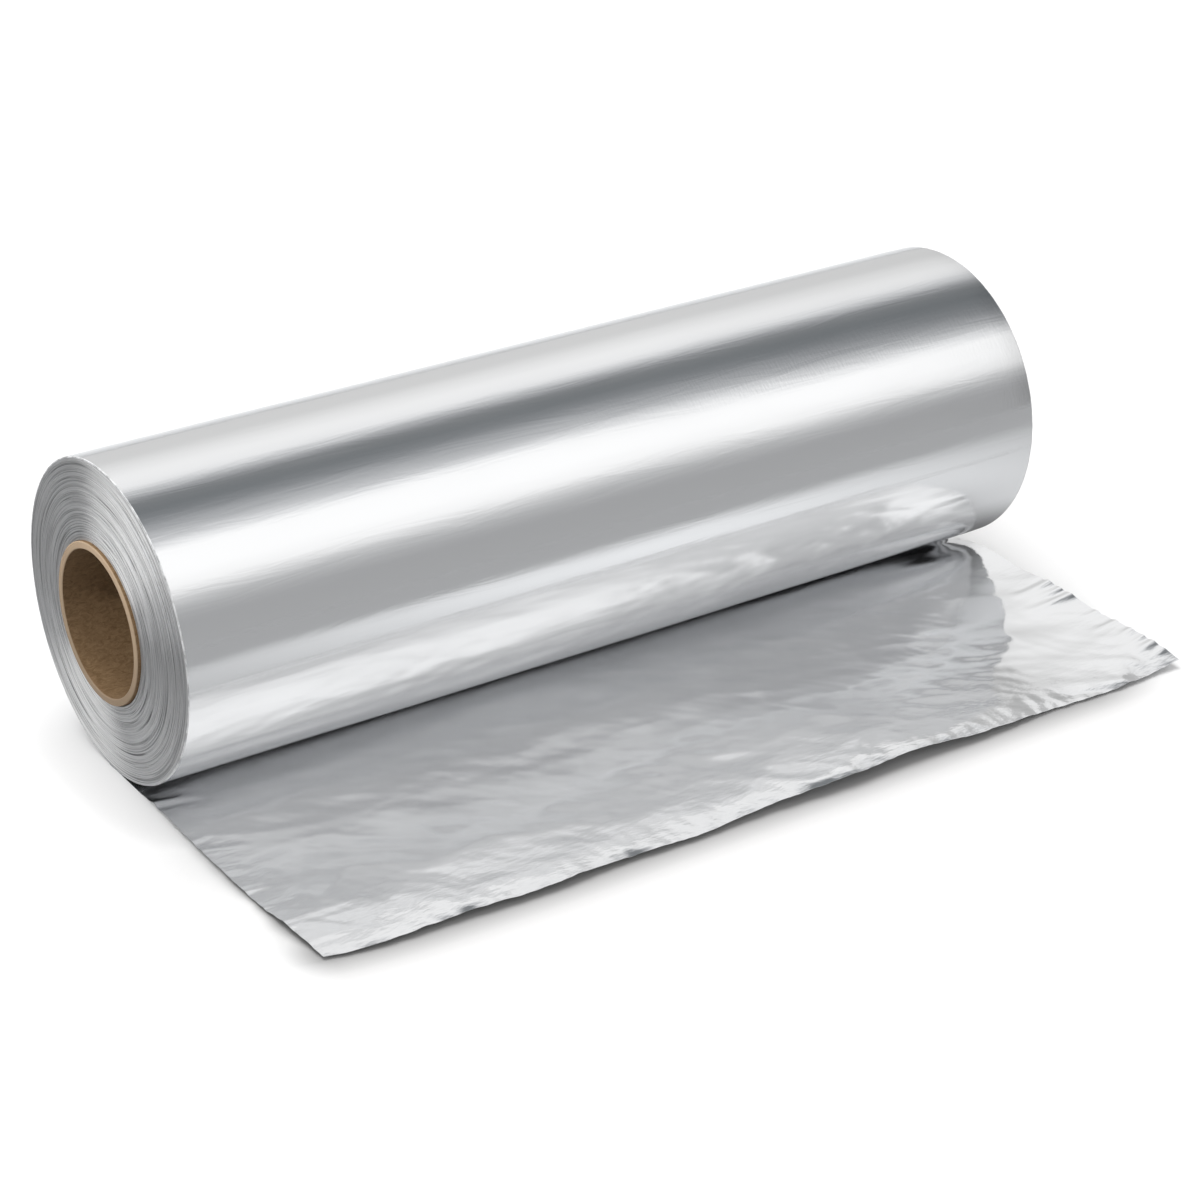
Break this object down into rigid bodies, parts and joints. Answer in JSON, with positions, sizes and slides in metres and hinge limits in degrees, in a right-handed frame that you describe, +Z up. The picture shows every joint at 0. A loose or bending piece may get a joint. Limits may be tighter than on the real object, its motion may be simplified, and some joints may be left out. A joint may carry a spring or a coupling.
{
  "type": "aluminium foil roll",
  "caption": "Wide roll of kitchen foil wound on a board core, lying with a short loose sheet laid out flat in front of it.",
  "frame": {"origin": "middle of the core's bore, on the roll's axis", "axes": "+X along the roll's axis, to the right as seen from the loose sheet's side; -Y towards the loose sheet; +Z up"},
  "size_m": [0.306, 0.1675, 0.0949],
  "materials": {
    "foil": "bright rolled foil",
    "core_board": "matt kraft board"
  },
  "bodies": {
    "root": {"foil": "foil", "core": "core_board"}
  },
  "joints": []
}
